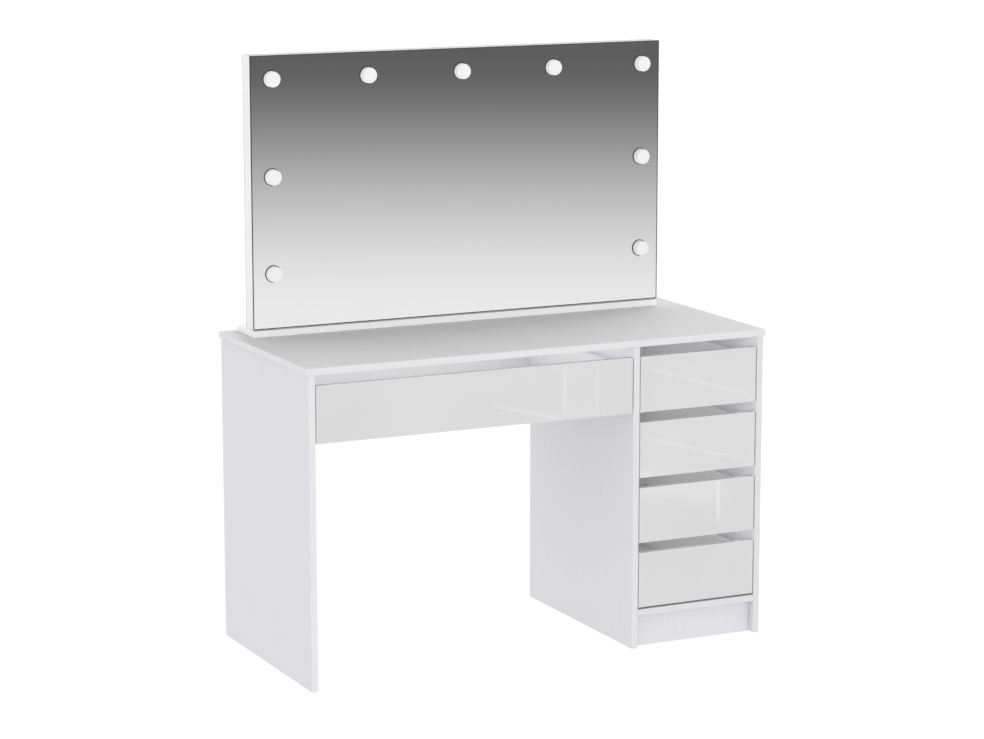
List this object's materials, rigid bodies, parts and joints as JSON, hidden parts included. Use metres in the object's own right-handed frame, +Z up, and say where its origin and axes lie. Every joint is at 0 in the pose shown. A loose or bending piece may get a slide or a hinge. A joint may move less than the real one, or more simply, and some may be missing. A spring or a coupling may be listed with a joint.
{
  "type": "vanity table with mirror",
  "caption": "Dressing table with a wide drawer over the knee space, a drawer pedestal, finger-gap fronts and a wide standing mirror ringed with round lamps.",
  "frame": {"origin": "on the floor, under the centre of the object's bounding box", "axes": "+Z up; the drawers face -Y; the drawer pedestal is at the +X end"},
  "size_m": [1.2, 0.553, 1.4273],
  "materials": {
    "white_laminate": "satin white melamine with a faint vertical grain",
    "gloss_front": "high-gloss white lacquered board",
    "white_hardboard": "painted white hardboard",
    "mirror_glass": "silvered glass with a polished dark edge",
    "opal_lamp": "frosted opal diffuser",
    "zinc_plated_steel": "zinc plated",
    "black_plastic": "black moulded plastic"
  },
  "bodies": {
    "carcass": {"table_top": "white_laminate", "left_side_panel": "white_laminate", "pedestal_divider": "white_laminate", "right_side_panel": "white_laminate", "pedestal_floor": "white_laminate", "front_plinth": "white_laminate", "rear_plinth": "white_laminate", "rear_rail": "white_laminate", "mirror_base_plank": "white_laminate", "mirror_backing_board": "white_laminate", "mirror_box_frame": "white_laminate", "pedestal_back": "white_hardboard", "mirror_back_cover": "white_hardboard", "mirror_glass": "mirror_glass", "lamp_1": "opal_lamp", "lamp_2": "opal_lamp", "lamp_3": "opal_lamp", "lamp_4": "opal_lamp", "lamp_5": "opal_lamp", "lamp_6": "opal_lamp", "lamp_7": "opal_lamp", "lamp_8": "opal_lamp", "lamp_9": "opal_lamp", "led_driver": "black_plastic", "power_inlet": "black_plastic", "wide_drawer_left_rail": "zinc_plated_steel", "wide_drawer_right_rail": "zinc_plated_steel", "drawer_1_left_rail": "zinc_plated_steel", "drawer_1_right_rail": "zinc_plated_steel", "drawer_2_left_rail": "zinc_plated_steel", "drawer_2_right_rail": "zinc_plated_steel", "drawer_3_left_rail": "zinc_plated_steel", "drawer_3_right_rail": "zinc_plated_steel", "drawer_4_left_rail": "zinc_plated_steel", "drawer_4_right_rail": "zinc_plated_steel"},
    "wide_drawer": {"wide_drawer_front": "gloss_front", "wide_drawer_box": "white_laminate", "wide_drawer_bottom": "white_hardboard", "wide_drawer_left_slide": "zinc_plated_steel", "wide_drawer_right_slide": "zinc_plated_steel"},
    "drawer_1": {"drawer_1_front": "gloss_front", "drawer_1_box": "white_laminate", "drawer_1_bottom": "white_hardboard", "drawer_1_left_slide": "zinc_plated_steel", "drawer_1_right_slide": "zinc_plated_steel"},
    "drawer_2": {"drawer_2_front": "gloss_front", "drawer_2_box": "white_laminate", "drawer_2_bottom": "white_hardboard", "drawer_2_left_slide": "zinc_plated_steel", "drawer_2_right_slide": "zinc_plated_steel"},
    "drawer_3": {"drawer_3_front": "gloss_front", "drawer_3_box": "white_laminate", "drawer_3_bottom": "white_hardboard", "drawer_3_left_slide": "zinc_plated_steel", "drawer_3_right_slide": "zinc_plated_steel"},
    "drawer_4": {"drawer_4_front": "gloss_front", "drawer_4_box": "white_laminate", "drawer_4_bottom": "white_hardboard", "drawer_4_left_slide": "zinc_plated_steel", "drawer_4_right_slide": "zinc_plated_steel"}
  },
  "joints": [
    {"name": "wide_drawer_slide", "type": "slide", "parent": "carcass", "child": "wide_drawer", "axis": [0, -1, 0], "range_m": [0, 0.375]},
    {"name": "drawer_1_slide", "type": "slide", "parent": "carcass", "child": "drawer_1", "axis": [0, -1, 0], "range_m": [0, 0.375]},
    {"name": "drawer_2_slide", "type": "slide", "parent": "carcass", "child": "drawer_2", "axis": [0, -1, 0], "range_m": [0, 0.375]},
    {"name": "drawer_3_slide", "type": "slide", "parent": "carcass", "child": "drawer_3", "axis": [0, -1, 0], "range_m": [0, 0.375]},
    {"name": "drawer_4_slide", "type": "slide", "parent": "carcass", "child": "drawer_4", "axis": [0, -1, 0], "range_m": [0, 0.375]}
  ]
}
